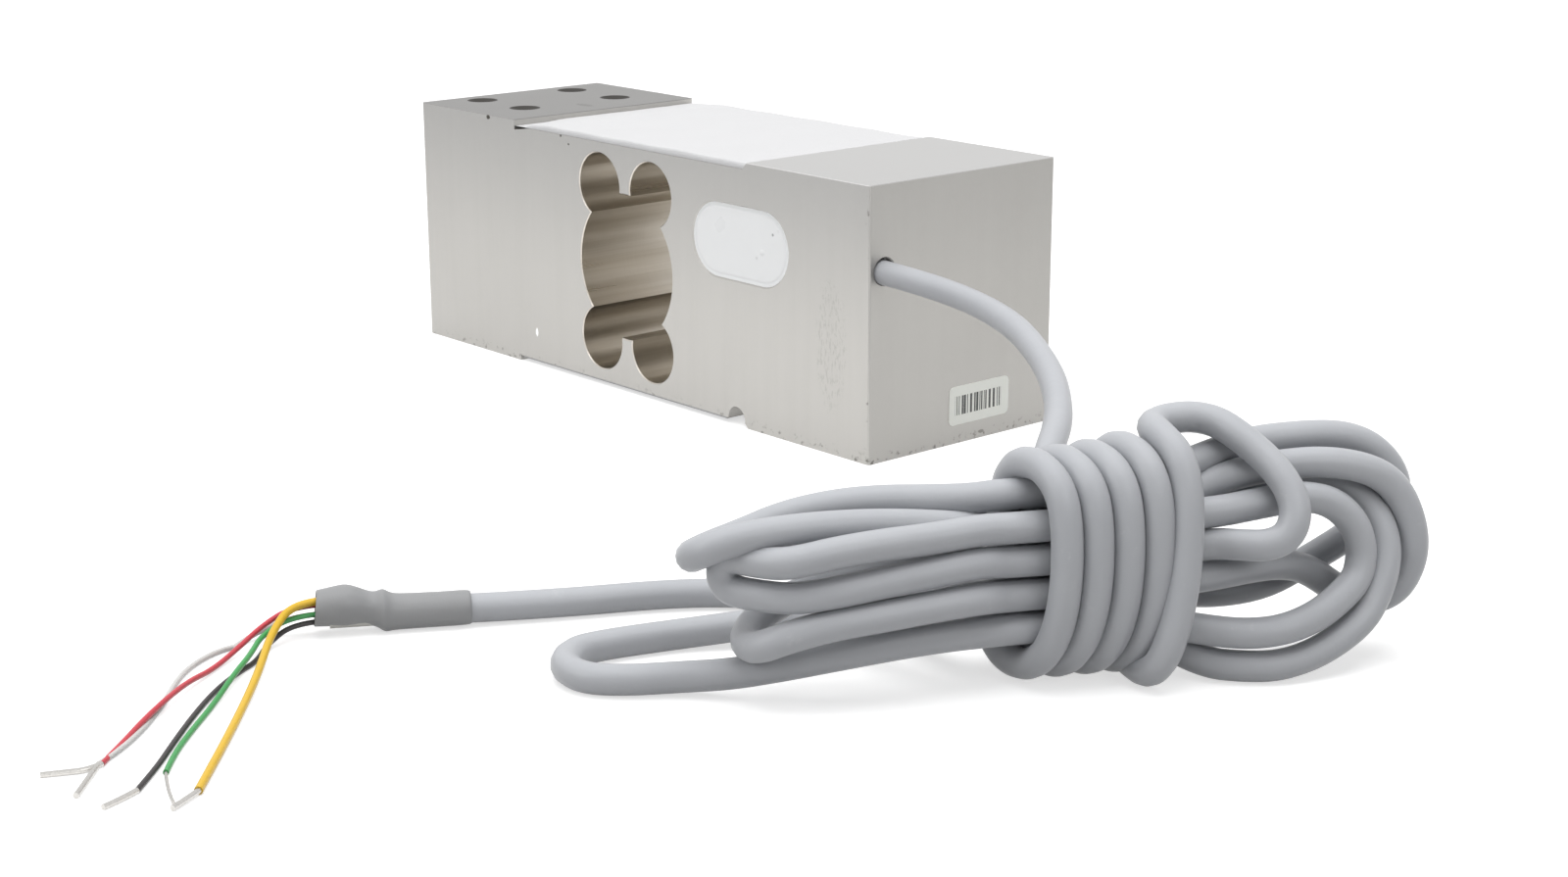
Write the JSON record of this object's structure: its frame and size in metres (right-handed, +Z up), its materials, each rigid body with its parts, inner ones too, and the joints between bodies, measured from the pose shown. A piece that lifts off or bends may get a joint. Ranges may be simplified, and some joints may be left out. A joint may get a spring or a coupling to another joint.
{
  "type": "single point load cell",
  "caption": "Aluminium single point load cell: a bar with a lobed flexure opening, white-potted pocket and relief, threaded holes, and a grey cable in a wrapped hank with bare coloured leads.",
  "frame": {"origin": "middle of the block's underside, between the two pads it stands on", "axes": "+X along the bar towards the end the cable leaves, -Y out of the face with the potted pocket, +Z up"},
  "size_m": [0.3626, 0.3015, 0.069],
  "materials": {
    "machined_aluminium": "fine milled and lightly blasted",
    "gauge_foil": "polyimide film",
    "copper_pads": "tinned pads",
    "enamelled_wire": "enamelled",
    "circuit_board": "solder mask",
    "resistor_body": "moulded",
    "white_silicone": "smooth white silicone",
    "white_potting": "smooth white potting",
    "cable_jacket": "grey flexible jacket",
    "shrink_sleeve": "grey heat-shrink",
    "filler": "stripped cores and filler",
    "tinned_copper": "tinned strands",
    "label_paper": "coated paper",
    "insulation_red": "smooth insulation",
    "insulation_white": "smooth insulation",
    "insulation_black": "smooth insulation",
    "insulation_green": "smooth insulation",
    "insulation_yellow": "smooth insulation"
  },
  "bodies": {
    "root": {"load_cell_body": "machined_aluminium", "strain_gauge_top_left": "gauge_foil", "strain_gauge_top_right": "gauge_foil", "gauge_terminals_top": "copper_pads", "gauge_wires_top": "enamelled_wire", "strain_gauge_bottom_left": "gauge_foil", "strain_gauge_bottom_right": "gauge_foil", "gauge_terminals_bottom": "copper_pads", "gauge_wires_bottom": "enamelled_wire", "trimming_board": "circuit_board", "trimming_resistor_1": "resistor_body", "trimming_resistor_2": "resistor_body", "top_sealant": "white_silicone", "bottom_sealant": "white_silicone", "bore_sealant": "white_silicone", "pocket_potting": "white_potting", "cable_lead": "cable_jacket", "cable_hank": "cable_jacket", "cable_low_loop": "cable_jacket", "cable_tail": "cable_jacket", "heat_shrink_sleeve": "shrink_sleeve", "core_bundle": "filler", "core_red": "insulation_red", "core_white": "insulation_white", "core_black": "insulation_black", "core_green": "insulation_green", "lead_yellow": "insulation_yellow", "tinned_end_yellow": "tinned_copper", "lead_green": "insulation_green", "tinned_end_green": "tinned_copper", "lead_black": "insulation_black", "tinned_end_black": "tinned_copper", "lead_white": "insulation_white", "tinned_end_white": "tinned_copper", "lead_red": "insulation_red", "tinned_end_red": "tinned_copper", "end_label": "label_paper"}
  },
  "joints": []
}
